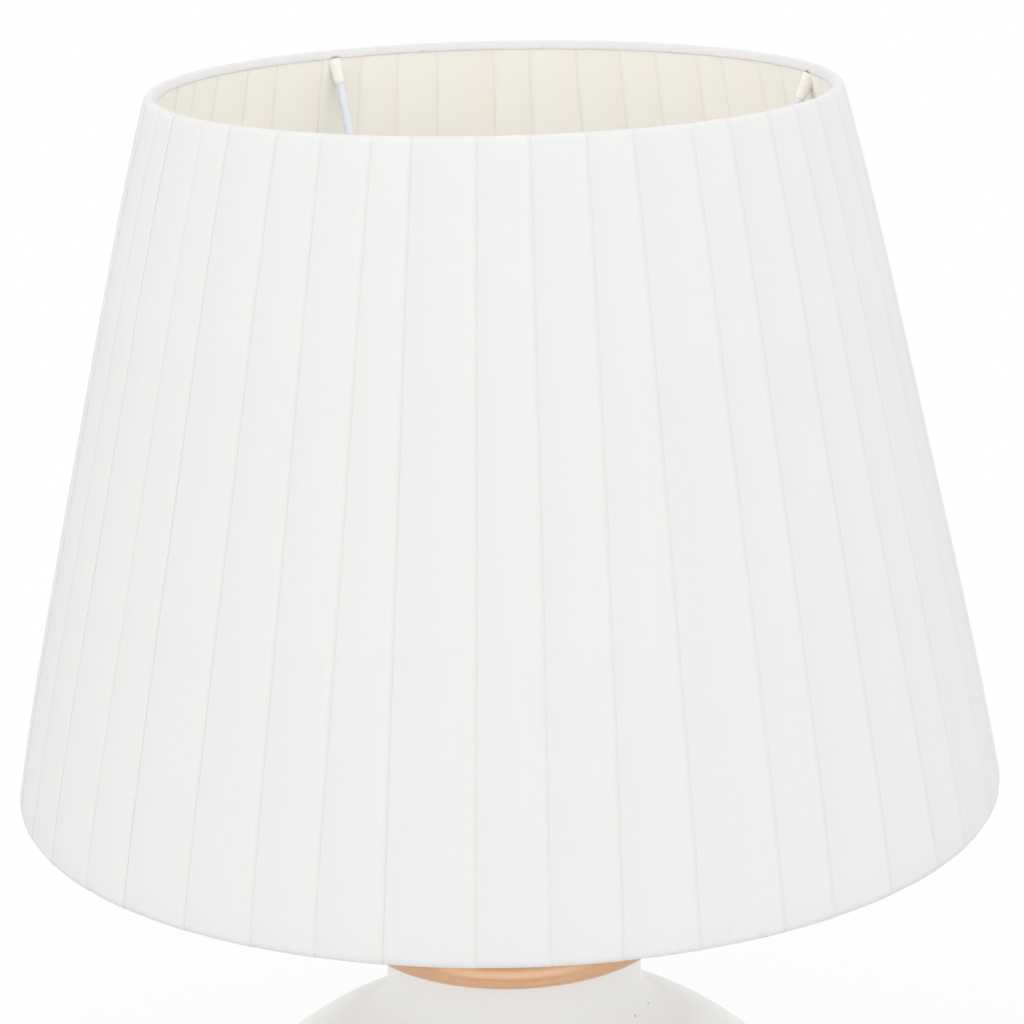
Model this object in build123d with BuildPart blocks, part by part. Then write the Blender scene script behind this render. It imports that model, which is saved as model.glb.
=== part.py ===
from build123d import *
from math import atan2, cos, degrees, hypot, pi, radians, sin, sqrt, tan
import os

# Table lamp: a hollow ceramic belly, a turned wooden cap, a screw lampholder and a pleated shade
# Millimetres, +Z up, origin on the table under the middle of the foot, +Y towards the lamp's back

# Ceramic body
body_diameter = 245.0
belly_height = 74.0  # table to the widest section
belly_half_height = 90.5  # upright half axis of the belly's ellipse
body_wall = 6.5
neck_diameter = 92.0
neck_blend = 24.0  # radius of the hollow between neck and shoulder
lip_height = 188.8  # table to the lip that carries the cap
lip_round = 2.0
foot_ring_width = 9.0
foot_round = 1.5
floor_thickness = 7.0

# Felt pad under the foot
felt_thickness = 3.0
felt_proud = 1.2  # felt below the foot ring
felt_edge_gap = 0.5

# Cord outlet low at the back
outlet_height = 24.0  # table to the middle of the hole, on the outside
cord_hole_diameter = 7.0
grommet_wall = 1.6
grommet_flange_width = 2.6
grommet_flange_thickness = 1.8

# Wooden cap
cap_diameter = 116.0
cap_thickness = 12.0
cap_edge_round = 5.5
spigot_length = 14.0
spigot_gap = 0.4

# Threaded tube with its nuts, washers and sleeve
tube_diameter = 10.0
tube_wall = 1.5
tube_end_proud = 2.0  # tube below the lower nut
nut_width = 14.0  # across flats
nut_thickness = 4.0
washer_thickness = 1.5
lower_washer_diameter = 30.0
sleeve_length = 24.0
sleeve_wall = 2.0
sleeve_round = 0.8
sleeve_nut_gap = 0.8  # around the nut's corners

# Bulb with a 27 mm screw cap
bulb_cap_diameter = 26.0
bulb_cap_length = 21.0
bulb_cap_chamfer = 2.6
bulb_tip_length = 6.0
bulb_contact_diameter = 6.4  # flat of the solder contact under the tip
bulb_contact_height = 1.5
bulb_tip_diameter = 8.0
bulb_housing_length = 34.0
bulb_housing_bow = 2.5  # how far the housing's side curves in
bulb_collar_length = 3.0
bulb_collar_width = 0.8
bulb_seam_diameter = 54.0
bulb_globe_diameter = 60.0

# Lampholder, sized outwards from the bulb's cap
shell_wall = 0.8
shell_length = 26.0
shell_lip = 2.6
skirt_wall = 5.0
skirt_length = 34.0  # above the flange
skirt_spigot_length = 10.0
flange_width = 3.8
flange_thickness = 3.0
holder_cap_height = 26.0
holder_cap_taper = 12.0
holder_cap_wall = 2.4
holder_floor = 3.0
hub_wall = 3.5
hub_height = 12.0
insert_height = 18.0
contact_rise = 4.5
contact_thickness = 0.6
contact_width = 6.0
contact_span = 13.0
contact_foot = 2.4
terminal_head_diameter = 4.4
terminal_head_height = 2.0
terminal_shank_diameter = 3.0
terminal_shank_length = 7.0

# Ring that clamps the shade to the lampholder
clamp_flange_width = 6.0
clamp_flange_thickness = 3.0
clamp_collar_wall = 3.3
clamp_height = 9.0
grip_count = 24
grip_radius = 1.0

# Shade
shade_bottom_diameter = 347.0
shade_top_diameter = 237.0
shade_height = 246.5
ring_wire = 3.0
strut_wire = 2.6
strut_count = 6
strut_phase = 38.5  # angle of the first strut, from +X, clear of the arms
cloth_thickness = 0.8
lining_thickness = 0.6
pleat_count = 44
pleat_step = 2.0  # how far a fold stands over the next one
pleat_step_at_ring = 0.5
pleat_fade = 18.0  # height over which the folds flatten towards the rings
pleat_phase = -93.3  # angle of one fold's edge, from +X
hem_thickness = 0.5  # cloth pulled tight over the rings
hem_set = 0.05  # inside of the pleats behind the inside of the hems
lining_inset = 1.5  # edges of the lining from the middle of the rings

# Shade fitter
fitter_thickness = 2.0
fitter_width = 11.0
fitter_rise = 5.0  # underside of the fitter ring above the shade's lower edge
arm_wire = 3.0
arm_angles = (16.0, 120.7, 248.4)  # round the axis, from +X; hand bent, so not quite even
arm_foot_length = 5.2
arm_bend = 5.0
arm_hook_reach = 4.5  # from the top ring inwards to the arm's upper bend
arm_hook_drop = 9.5

# Clearances
thread_gap = 0.6  # between screw threads, drawn plain
fit_gap = 0.2  # between pieces that are pressed or screwed together
bore_gap = 0.15  # around the threaded tube
turn_gap = 0.2  # between flat faces that turn on each other
cloth_gap = 0.75  # between wire and cloth
weld_gap = 0.15  # between wire ends and what they are welded to
slit_gap = 0.3  # around an arm where it passes through the cloth
ring_gap = 0.4  # between the lampholder's thread and the rings around it

os.makedirs("parts", exist_ok=True)


def turn(*outline):
    """Turn a closed outline of (radius, height) points about the lamp's axis."""
    with BuildSketch(Plane.XZ) as section:
        with BuildLine():
            Polyline(*outline, close=True)
        make_face()
    revolve(section.sketch, axis=Axis.Z)


def ellipse_radius(half_width, half_height, height):
    """Radius of an upright ellipse at a height above its middle."""
    return half_width * sqrt(1 - (height / half_height) ** 2)


def ellipse_angle(half_width, half_height, radius, height):
    """Angle along an ellipse, in degrees, of a point on it."""
    return degrees(atan2(height / half_height, radius / half_width))


def radial_plane(angle):
    """Upright plane through the lamp's axis, with its X outwards and its Y upwards."""
    outwards = (cos(radians(angle)), sin(radians(angle)), 0)
    return Plane(origin=(0, 0, 0), x_dir=outwards, z_dir=(outwards[1], -outwards[0], 0))


# Ceramic body
belly_radius = body_diameter / 2
neck_radius = neck_diameter / 2
hollow_radius = belly_radius - body_wall
hollow_half_height = belly_half_height - body_wall
mouth_radius = neck_radius - body_wall
floor_height = felt_thickness + floor_thickness
foot_radius = ellipse_radius(belly_radius, belly_half_height, felt_proud - belly_height)
recess_radius = foot_radius - foot_ring_width
neck_rise = ellipse_radius(belly_half_height, belly_radius, neck_radius)
mouth_rise = ellipse_radius(hollow_half_height, hollow_radius, mouth_radius)
floor_radius = ellipse_radius(hollow_radius, hollow_half_height, floor_height - belly_height)
foot_angle = ellipse_angle(belly_radius, belly_half_height, foot_radius, felt_proud - belly_height)
neck_angle = ellipse_angle(belly_radius, belly_half_height, neck_radius, neck_rise)
mouth_angle = ellipse_angle(hollow_radius, hollow_half_height, mouth_radius, mouth_rise)
floor_angle = ellipse_angle(
    hollow_radius, hollow_half_height, floor_radius, floor_height - belly_height
)

# The cord outlet stands square to the belly's outside
outlet_rise = outlet_height - belly_height
outlet_radius = ellipse_radius(belly_radius, belly_half_height, outlet_rise)
outlet_slope = hypot(outlet_radius / belly_radius**2, outlet_rise / belly_half_height**2)
outlet_out = outlet_radius / belly_radius**2 / outlet_slope
outlet_up = outlet_rise / belly_half_height**2 / outlet_slope
outlet_plane = Plane(
    origin=(0, outlet_radius, outlet_height), x_dir=(1, 0, 0), z_dir=(0, outlet_out, outlet_up)
)
grommet_radius = cord_hole_diameter / 2 + grommet_wall

with BuildPart() as ceramic_body:
    with BuildSketch(Plane.XZ):
        with BuildLine():
            Polyline(
                (0, felt_thickness),
                (recess_radius, felt_thickness),
                (recess_radius, felt_proud),
                (foot_radius, felt_proud),
            )
            EllipticalCenterArc(
                (0, belly_height),
                belly_radius,
                belly_half_height,
                foot_angle,
                arc_size=neck_angle - foot_angle,
            )
            Polyline(
                (neck_radius, belly_height + neck_rise),
                (neck_radius, lip_height),
                (mouth_radius, lip_height),
                (mouth_radius, belly_height + mouth_rise),
            )
            EllipticalCenterArc(
                (0, belly_height),
                hollow_radius,
                hollow_half_height,
                floor_angle,
                arc_size=mouth_angle - floor_angle,
            )
            Polyline((floor_radius, floor_height), (0, floor_height), (0, felt_thickness))
        make_face()
    revolve(axis=Axis.Z)
    neck_root = Vector(neck_radius, 0, belly_height + neck_rise)
    circles = ceramic_body.edges().filter_by(GeomType.CIRCLE)
    fillet(circles.sort_by_distance(neck_root)[0], neck_blend)
    fillet(ceramic_body.edges().group_by(Axis.Z)[-1], lip_round)
    fillet(ceramic_body.edges().group_by(Axis.Z)[0], foot_round)
    with BuildSketch(outlet_plane):
        Circle(grommet_radius + fit_gap)
    extrude(amount=3 * body_wall, both=True, mode=Mode.SUBTRACT)
ceramic_body.part.label = "ceramic_body"
export_step(ceramic_body.part, "parts/ceramic_body.step")

# Felt pad
with BuildPart() as felt_pad:
    with BuildSketch(Plane.XY):
        Circle(recess_radius - felt_edge_gap)
    extrude(amount=felt_thickness)
felt_pad.part.label = "felt_pad"
export_step(felt_pad.part, "parts/felt_pad.step")


def wall_along_outlet():
    """Thickness of the ceramic wall along the outlet's axis."""
    across = (outlet_out / hollow_radius) ** 2 + (outlet_up / hollow_half_height) ** 2
    along = outlet_radius * outlet_out / hollow_radius**2
    along = along + outlet_rise * outlet_up / hollow_half_height**2
    start = (outlet_radius / hollow_radius) ** 2 + (outlet_rise / hollow_half_height) ** 2 - 1
    return (along - sqrt(along**2 - across * start)) / across


# Cord grommet: a bush with a flange on both sides of the wall
outlet_wall = wall_along_outlet()
grommet_flange_radius = grommet_radius + grommet_flange_width
# The inner flange stays clear of the hollow's curve
inner_flange_set = grommet_flange_radius**2 / (2 * hollow_half_height) + fit_gap
grommet_depth = outlet_wall + inner_flange_set
with BuildPart() as cord_grommet:
    with BuildSketch(outlet_plane):
        Circle(grommet_flange_radius)
    extrude(amount=grommet_flange_thickness)
    with BuildSketch(outlet_plane):
        Circle(grommet_radius)
    extrude(amount=-grommet_depth)
    with BuildSketch(outlet_plane.offset(-grommet_depth)):
        Circle(grommet_flange_radius)
    extrude(amount=-grommet_flange_thickness)
    with BuildSketch(outlet_plane.offset(grommet_flange_thickness)):
        Circle(cord_hole_diameter / 2)
    extrude(amount=-grommet_depth - 2 * grommet_flange_thickness, mode=Mode.SUBTRACT)
cord_grommet.part.label = "cord_grommet"
export_step(cord_grommet.part, "parts/cord_grommet.step")

# Wooden cap
tube_radius = tube_diameter / 2
cap_radius = cap_diameter / 2
cap_top = lip_height + cap_thickness
spigot_bottom = lip_height - spigot_length
spigot_radius = mouth_radius - spigot_gap
with BuildPart() as wooden_cap:
    turn(
        (tube_radius + bore_gap, spigot_bottom),
        (spigot_radius, spigot_bottom),
        (spigot_radius, lip_height),
        (cap_radius, lip_height),
        (cap_radius, cap_top),
        (tube_radius + bore_gap, cap_top),
    )
    rim = wooden_cap.faces().filter_by(GeomType.CYLINDER).sort_by(SortBy.AREA)[-1]
    fillet(rim.edges().filter_by(GeomType.CIRCLE), min(cap_edge_round, 0.49 * cap_thickness))
wooden_cap.part.label = "wooden_cap"
export_step(wooden_cap.part, "parts/wooden_cap.step")

# Threaded tube, from below the lower nut to the top of the lampholder's hub
nut_corner = nut_width / 2 / cos(pi / 6)
sleeve_bore = nut_corner + sleeve_nut_gap
sleeve_radius = sleeve_bore + sleeve_wall
holder_bottom = cap_top + sleeve_length
hub_top = holder_bottom + holder_floor + hub_height
lower_nut_top = spigot_bottom - washer_thickness
tube_bottom = lower_nut_top - nut_thickness - tube_end_proud
with BuildPart() as threaded_tube:
    with BuildSketch(Plane.XY.offset(tube_bottom)):
        Circle(tube_radius)
        Circle(tube_radius - tube_wall, mode=Mode.SUBTRACT)
    extrude(amount=hub_top - tube_bottom)
threaded_tube.part.label = "threaded_tube"
export_step(threaded_tube.part, "parts/threaded_tube.step")

# Washers
with BuildPart() as lower_washer:
    with BuildSketch(Plane.XY.offset(lower_nut_top)):
        Circle(lower_washer_diameter / 2)
        Circle(tube_radius + bore_gap, mode=Mode.SUBTRACT)
    extrude(amount=washer_thickness)
lower_washer.part.label = "lower_washer"
export_step(lower_washer.part, "parts/lower_washer.step")

with BuildPart() as upper_washer:
    with BuildSketch(Plane.XY.offset(cap_top)):
        Circle(sleeve_bore - fit_gap)
        Circle(tube_radius + bore_gap, mode=Mode.SUBTRACT)
    extrude(amount=washer_thickness)
upper_washer.part.label = "upper_washer"
export_step(upper_washer.part, "parts/upper_washer.step")

# Nuts
nut_bottoms = {
    "lower_nut": lower_nut_top - nut_thickness,
    "upper_nut": cap_top + washer_thickness,
}
for nut_name, nut_bottom in nut_bottoms.items():
    with BuildPart() as hex_nut:
        with BuildSketch(Plane.XY.offset(nut_bottom)):
            RegularPolygon(nut_width / 2, 6, major_radius=False)
            Circle(tube_radius + bore_gap, mode=Mode.SUBTRACT)
        extrude(amount=nut_thickness)
    hex_nut.part.label = nut_name
    export_step(hex_nut.part, f"parts/{nut_name}.step")

# Sleeve between cap and lampholder
with BuildPart() as neck_sleeve:
    with BuildSketch(Plane.XY.offset(cap_top)):
        Circle(sleeve_radius)
        Circle(sleeve_bore, mode=Mode.SUBTRACT)
    extrude(amount=sleeve_length)
    outer_wall = neck_sleeve.faces().filter_by(GeomType.CYLINDER).sort_by(SortBy.AREA)[-1]
    fillet(outer_wall.edges().filter_by(GeomType.CIRCLE), sleeve_round)
neck_sleeve.part.label = "neck_sleeve"
export_step(neck_sleeve.part, "parts/neck_sleeve.step")

# Lampholder radii, outwards from the bulb's cap
bulb_cap_radius = bulb_cap_diameter / 2
shell_bore = bulb_cap_radius + thread_gap
shell_radius = shell_bore + shell_wall
skirt_bore = shell_radius + fit_gap
thread_radius = skirt_bore + skirt_wall
flange_radius = thread_radius + flange_width
holder_cap_bore = thread_radius - holder_cap_wall
hub_radius = tube_radius + hub_wall
holder_cap_top = holder_bottom + holder_cap_height
flange_top = holder_cap_top + flange_thickness
skirt_top = flange_top + skirt_length
insert_top = hub_top + insert_height

# Lower shell of the lampholder, a tapered cup with a hub for the tube
with BuildPart() as holder_cap:
    turn(
        (tube_radius + bore_gap, holder_bottom),
        (sleeve_radius, holder_bottom),
        (thread_radius, holder_bottom + holder_cap_taper),
        (thread_radius, holder_cap_top),
        (holder_cap_bore, holder_cap_top),
        (holder_cap_bore, holder_bottom + holder_cap_taper),
        (hub_radius, holder_bottom + holder_floor),
        (hub_radius, hub_top),
        (tube_radius + bore_gap, hub_top),
    )
holder_cap.part.label = "holder_cap"
export_step(holder_cap.part, "parts/holder_cap.step")

# Upper shell of the lampholder, with the flange that carries the shade
with BuildPart() as holder_skirt:
    turn(
        (skirt_bore, holder_cap_top - skirt_spigot_length),
        (holder_cap_bore - fit_gap, holder_cap_top - skirt_spigot_length),
        (holder_cap_bore - fit_gap, holder_cap_top),
        (flange_radius, holder_cap_top),
        (flange_radius, flange_top),
        (thread_radius, flange_top),
        (thread_radius, skirt_top),
        (skirt_bore, skirt_top),
    )
holder_skirt.part.label = "holder_skirt"
export_step(holder_skirt.part, "parts/holder_skirt.step")

# Insulating core on the hub, with two holes for the terminal screws
terminal_circle = hub_radius + terminal_head_diameter / 2 + ring_gap
with BuildPart() as holder_insert:
    with BuildSketch(Plane.XY.offset(hub_top)):
        Circle(skirt_bore - fit_gap)
    extrude(amount=insert_height)
    with BuildSketch(Plane.XY.offset(hub_top)):
        with PolarLocations(terminal_circle, 2):
            Circle(terminal_shank_diameter / 2 + bore_gap)
    extrude(amount=terminal_shank_length + fit_gap, mode=Mode.SUBTRACT)
holder_insert.part.label = "holder_insert"
export_step(holder_insert.part, "parts/holder_insert.step")

with BuildPart() as terminal_screws:
    with BuildSketch(Plane.XY.offset(hub_top)):
        with PolarLocations(terminal_circle, 2):
            Circle(terminal_head_diameter / 2)
    extrude(amount=-terminal_head_height)
    with BuildSketch(Plane.XY.offset(hub_top)):
        with PolarLocations(terminal_circle, 2):
            Circle(terminal_shank_diameter / 2)
    extrude(amount=terminal_shank_length)
terminal_screws.part.label = "terminal_screws"
export_step(terminal_screws.part, "parts/terminal_screws.step")

# Metal shell for the bulb's thread
with BuildPart() as screw_shell:
    turn(
        (shell_bore - shell_lip, insert_top),
        (shell_radius, insert_top),
        (shell_radius, insert_top + shell_length),
        (shell_bore, insert_top + shell_length),
        (shell_bore, insert_top + shell_wall),
        (shell_bore - shell_lip, insert_top + shell_wall),
    )
screw_shell.part.label = "screw_shell"
export_step(screw_shell.part, "parts/screw_shell.step")

# Centre contact, an arched spring strip
arch_end = contact_span / 2
contact_top = insert_top + contact_rise + contact_thickness
strip_top = insert_top + contact_thickness
with BuildPart() as centre_contact:
    with BuildSketch(Plane.XZ):
        with BuildLine():
            arch_top = (0, insert_top + contact_rise)
            ThreePointArc((-arch_end, insert_top), arch_top, (arch_end, insert_top))
            Polyline(
                (arch_end, insert_top),
                (arch_end + contact_foot, insert_top),
                (arch_end + contact_foot, strip_top),
                (arch_end, strip_top),
            )
            ThreePointArc((arch_end, strip_top), (0, contact_top), (-arch_end, strip_top))
            Polyline(
                (-arch_end, strip_top),
                (-arch_end - contact_foot, strip_top),
                (-arch_end - contact_foot, insert_top),
                (-arch_end, insert_top),
            )
        make_face()
    extrude(amount=contact_width / 2, both=True)
centre_contact.part.label = "centre_contact"
export_step(centre_contact.part, "parts/centre_contact.step")

# Bulb: insulated tip, screw cap, housing and globe
tip_bottom = contact_top + weld_gap
tip_radius = bulb_tip_diameter / 2
bulb_cap_bottom = tip_bottom + bulb_tip_length
bulb_cap_top = bulb_cap_bottom + bulb_cap_length
seam_height = bulb_cap_top + bulb_housing_length
seam_radius = bulb_seam_diameter / 2
globe_radius = bulb_globe_diameter / 2
cap_shoulder = bulb_cap_radius - bulb_cap_chamfer
with BuildPart() as bulb_tip:
    turn(
        (0, tip_bottom),
        (bulb_contact_diameter / 2, tip_bottom),
        (tip_radius, tip_bottom + bulb_contact_height),
        (cap_shoulder, bulb_cap_bottom),
        (0, bulb_cap_bottom),
    )
bulb_tip.part.label = "bulb_tip"
export_step(bulb_tip.part, "parts/bulb_tip.step")

with BuildPart() as bulb_cap:
    turn(
        (0, bulb_cap_bottom),
        (cap_shoulder, bulb_cap_bottom),
        (bulb_cap_radius, bulb_cap_bottom + bulb_cap_chamfer),
        (bulb_cap_radius, bulb_cap_top),
        (0, bulb_cap_top),
    )
bulb_cap.part.label = "bulb_cap"
export_step(bulb_cap.part, "parts/bulb_cap.step")

with BuildPart() as bulb_housing:
    with BuildSketch(Plane.XZ):
        with BuildLine():
            collar_top = (bulb_cap_radius + bulb_collar_width, bulb_cap_top + bulb_collar_length)
            Polyline((0, bulb_cap_top), (collar_top[0], bulb_cap_top), collar_top)
            SagittaArc(collar_top, (seam_radius, seam_height), bulb_housing_bow)
            Polyline((seam_radius, seam_height), (0, seam_height), (0, bulb_cap_top))
        make_face()
    revolve(axis=Axis.Z)
bulb_housing.part.label = "bulb_housing"
export_step(bulb_housing.part, "parts/bulb_housing.step")

globe_rise = sqrt(globe_radius**2 - seam_radius**2)
globe_middle = seam_height + globe_rise
globe_angle = degrees(atan2(globe_rise, seam_radius))
with BuildPart() as bulb_globe:
    with BuildSketch(Plane.XZ):
        with BuildLine():
            Line((0, seam_height), (seam_radius, seam_height))
            CenterArc((0, globe_middle), globe_radius, -globe_angle, 90 + globe_angle)
            Line((0, globe_middle + globe_radius), (0, seam_height))
        make_face()
    revolve(axis=Axis.Z)
bulb_globe.part.label = "bulb_globe"
export_step(bulb_globe.part, "parts/bulb_globe.step")

# Fitter ring of the shade, on the lampholder's flange
fitter_bottom = flange_top + turn_gap
fitter_top = fitter_bottom + fitter_thickness
fitter_bore = thread_radius + ring_gap
fitter_radius = fitter_bore + fitter_width
with BuildPart() as fitter_ring:
    with BuildSketch(Plane.XY.offset(fitter_bottom)):
        Circle(fitter_radius)
        Circle(fitter_bore, mode=Mode.SUBTRACT)
    extrude(amount=fitter_thickness)
fitter_ring.part.label = "fitter_ring"
export_step(fitter_ring.part, "parts/fitter_ring.step")

# Ring that clamps the fitter ring, with grip notches round its flange
clamp_bottom = fitter_top + turn_gap
clamp_radius = thread_radius + clamp_flange_width
clamp_bore = thread_radius + ring_gap
with BuildPart() as clamp_ring:
    with BuildSketch(Plane.XY.offset(clamp_bottom)):
        Circle(clamp_radius)
        Circle(clamp_bore, mode=Mode.SUBTRACT)
        with PolarLocations(clamp_radius, grip_count):
            Circle(grip_radius, mode=Mode.SUBTRACT)
    extrude(amount=clamp_flange_thickness)
    with BuildSketch(Plane.XY.offset(clamp_bottom)):
        Circle(clamp_bore + clamp_collar_wall)
        Circle(clamp_bore, mode=Mode.SUBTRACT)
    extrude(amount=clamp_height)
clamp_ring.part.label = "clamp_ring"
export_step(clamp_ring.part, "parts/clamp_ring.step")

# The shade's two hoops: middle of the wire at the lower and the upper edge
wire_radius = ring_wire / 2
cloth_inside = wire_radius + cloth_gap
cloth_outside = cloth_inside + cloth_thickness
hem_radius = cloth_inside + hem_thickness
shade_bottom = fitter_bottom - fitter_rise
shade_top = shade_bottom + shade_height
low_ring_height = shade_bottom + hem_radius
top_ring_height = shade_top - hem_radius
ring_rise = top_ring_height - low_ring_height
ring_step_in = (shade_bottom_diameter - shade_top_diameter) / 2
slant = atan2(ring_step_in, ring_rise)
low_ring_radius = shade_bottom_diameter / 2 - pleat_step_at_ring - cloth_outside
top_ring_radius = low_ring_radius - ring_step_in

with BuildPart() as top_ring:
    with Locations((0, 0, top_ring_height)):
        Torus(top_ring_radius, wire_radius)
top_ring.part.label = "top_ring"
export_step(top_ring.part, "parts/top_ring.step")

with BuildPart() as bottom_ring:
    with Locations((0, 0, low_ring_height)):
        Torus(low_ring_radius, wire_radius)
bottom_ring.part.label = "bottom_ring"
export_step(bottom_ring.part, "parts/bottom_ring.step")

# Struts between the hoops
wire_stop = wire_radius + weld_gap
strut_start = (low_ring_radius - wire_stop * sin(slant), low_ring_height + wire_stop * cos(slant))
strut_end = (top_ring_radius + wire_stop * sin(slant), top_ring_height - wire_stop * cos(slant))
for strut_number in range(strut_count):
    strut_angle = strut_phase + strut_number * 360 / strut_count
    with BuildPart() as frame_strut:
        with BuildLine(radial_plane(strut_angle)) as strut_line:
            Line(strut_start, strut_end)
        with BuildSketch(strut_line.line ^ 0):
            Circle(strut_wire / 2)
        sweep(path=strut_line.line)
    frame_strut.part.label = f"frame_strut_{strut_number + 1}"
    export_step(frame_strut.part, f"parts/frame_strut_{strut_number + 1}.step")

# Arms: flat on the fitter ring, straight up between bulb and cloth, bent up to the top hoop
arm_radius = arm_wire / 2
arm_axis_height = fitter_top + arm_radius + weld_gap
arm_corner = fitter_radius + arm_foot_length - arm_bend / 2
hook_corner = (top_ring_radius - arm_hook_reach, top_ring_height - arm_hook_drop)
hook_length = hypot(arm_hook_reach, arm_hook_drop)
hook_stop = (wire_radius + weld_gap) / hook_length
hook_end = (
    top_ring_radius - hook_stop * arm_hook_reach,
    top_ring_height - hook_stop * arm_hook_drop,
)
for arm_number, arm_angle in enumerate(arm_angles, start=1):
    with BuildPart() as fitter_arm:
        with BuildLine(radial_plane(arm_angle)) as arm_line:
            FilletPolyline(
                (arm_corner - arm_foot_length, arm_axis_height),
                (arm_corner, arm_axis_height),
                hook_corner,
                hook_end,
                radius=arm_bend,
            )
        with BuildSketch(arm_line.line ^ 0):
            Circle(arm_radius)
        sweep(path=arm_line.line)
    fitter_arm.part.label = f"fitter_arm_{arm_number}"
    export_step(fitter_arm.part, f"parts/fitter_arm_{arm_number}.step")


def slit_for_arm(angle):
    """Cut the way of an arm's hook through the cloth."""
    plane = radial_plane(angle)
    start = plane.from_local_coords((*hook_corner, 0))
    end = plane.from_local_coords((top_ring_radius, top_ring_height, 0))
    with BuildSketch(Plane(origin=start, z_dir=end - start)) as slit:
        Circle(arm_radius + slit_gap)
    extrude(slit.sketch, amount=hook_length, mode=Mode.SUBTRACT)


def cloth_radius(height, distance):
    """Radius at a height of the cone that lies a level distance outside the middle of the wires."""
    return top_ring_radius + (top_ring_height - height) * tan(slant) + distance


def fold_outline(height, step):
    """Outline of the knife pleats at a height: each fold climbs to its free edge and drops back."""
    pitch = 2 * pi / pleat_count
    low = cloth_radius(height, cloth_outside)
    points = []
    for fold in range(pleat_count):
        start = radians(pleat_phase) + fold * pitch
        points.append((low * cos(start), low * sin(start)))
        edge = start + pitch
        points.append(((low + step) * cos(edge), (low + step) * sin(edge)))
    return points


# Pleated cover: the knife pleats between the hoops, and a hem rolled over each hoop
fold_sections = [
    (low_ring_height, pleat_step_at_ring),
    (low_ring_height + pleat_fade, pleat_step),
    (top_ring_height - pleat_fade, pleat_step),
    (top_ring_height, pleat_step_at_ring),
]
with BuildPart() as pleated_cover:
    for fold_height, fold_step in fold_sections:
        with BuildSketch(Plane.XY.offset(fold_height)):
            with BuildLine():
                Polyline(*fold_outline(fold_height, fold_step), close=True)
            make_face()
    loft(ruled=True)
    for cut_height in (shade_bottom, shade_top):
        with BuildSketch(Plane.XY.offset(cut_height)):
            cut_radius = cloth_radius(cut_height, cloth_inside - hem_set)
            RegularPolygon(cut_radius, 2 * pleat_count, major_radius=False, rotation=pleat_phase)
    loft(ruled=True, mode=Mode.SUBTRACT)
    for hoop_radius, hoop_height, first_angle in (
        (low_ring_radius, low_ring_height, 180),
        (top_ring_radius, top_ring_height, 0),
    ):
        with BuildSketch(Plane.XZ):
            with BuildLine():
                outer = CenterArc((hoop_radius, hoop_height), hem_radius, first_angle, 180)
                inner = CenterArc((hoop_radius, hoop_height), cloth_inside, first_angle, 180)
                Line(outer @ 0, inner @ 0)
                Line(outer @ 1, inner @ 1)
            make_face()
        revolve(axis=Axis.Z)
    for arm_angle in arm_angles:
        slit_for_arm(arm_angle)
pleated_cover.part.label = "pleated_cover"
export_step(pleated_cover.part, "parts/pleated_cover.step")

# Lining inside the hoops, between the two hems; each arm passes through a notch in its upper edge
lining_bottom = low_ring_height + lining_inset
lining_top = top_ring_height - lining_inset
lining_inside = -cloth_inside - lining_thickness
with BuildPart() as shade_lining:
    turn(
        (cloth_radius(lining_bottom, lining_inside), lining_bottom),
        (cloth_radius(lining_bottom, -cloth_inside), lining_bottom),
        (cloth_radius(lining_top, -cloth_inside), lining_top),
        (cloth_radius(lining_top, lining_inside), lining_top),
    )
    for arm_angle in arm_angles:
        slit_for_arm(arm_angle)
shade_lining.part.label = "shade_lining"
export_step(shade_lining.part, "parts/shade_lining.step")
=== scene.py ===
# %% [markdown]
# A table lamp with a pleated shade
#
# The lamp is a round glazed pot with a turned wooden cap. A screw lampholder stands on the cap and
# carries a tapered shade of white ribbons, wound over two wire hoops so that each one lies over its
# neighbour. The rigid pieces come from the CAD frame and only get their finishes here. The cloth, the
# felt, the screw threads and the bindings are modelled in this file, in metres and in the CAD's frame.

# %% Load the frame
import math

import bmesh
import bpy
from mathutils import Matrix, Vector


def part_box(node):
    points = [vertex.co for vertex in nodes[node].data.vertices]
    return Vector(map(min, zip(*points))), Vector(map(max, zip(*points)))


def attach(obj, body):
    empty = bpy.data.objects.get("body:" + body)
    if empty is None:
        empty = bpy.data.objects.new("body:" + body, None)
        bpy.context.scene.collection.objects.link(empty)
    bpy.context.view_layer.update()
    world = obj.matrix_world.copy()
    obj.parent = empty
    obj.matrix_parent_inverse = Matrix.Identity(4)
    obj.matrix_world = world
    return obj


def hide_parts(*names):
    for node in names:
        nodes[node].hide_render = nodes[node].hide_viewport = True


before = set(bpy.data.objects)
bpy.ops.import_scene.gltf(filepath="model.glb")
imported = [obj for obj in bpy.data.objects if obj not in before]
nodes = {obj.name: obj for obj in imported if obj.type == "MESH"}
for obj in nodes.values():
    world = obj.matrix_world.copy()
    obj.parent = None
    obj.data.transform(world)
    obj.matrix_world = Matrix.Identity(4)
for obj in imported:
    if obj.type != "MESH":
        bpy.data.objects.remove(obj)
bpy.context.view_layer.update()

scene = bpy.context.scene
scene.view_settings.view_transform = "Standard"
MM = 0.001

# %% [markdown]
# Node trees as expressions
#
# Finishes and rules are node trees, and trees are easier to read as sums than as lists of links. One
# small class wraps a socket: arithmetic on it adds Math nodes, and its `node` method adds any other
# node, first its settings and then its sockets. The same class serves shaders and Geometry Nodes.


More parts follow.
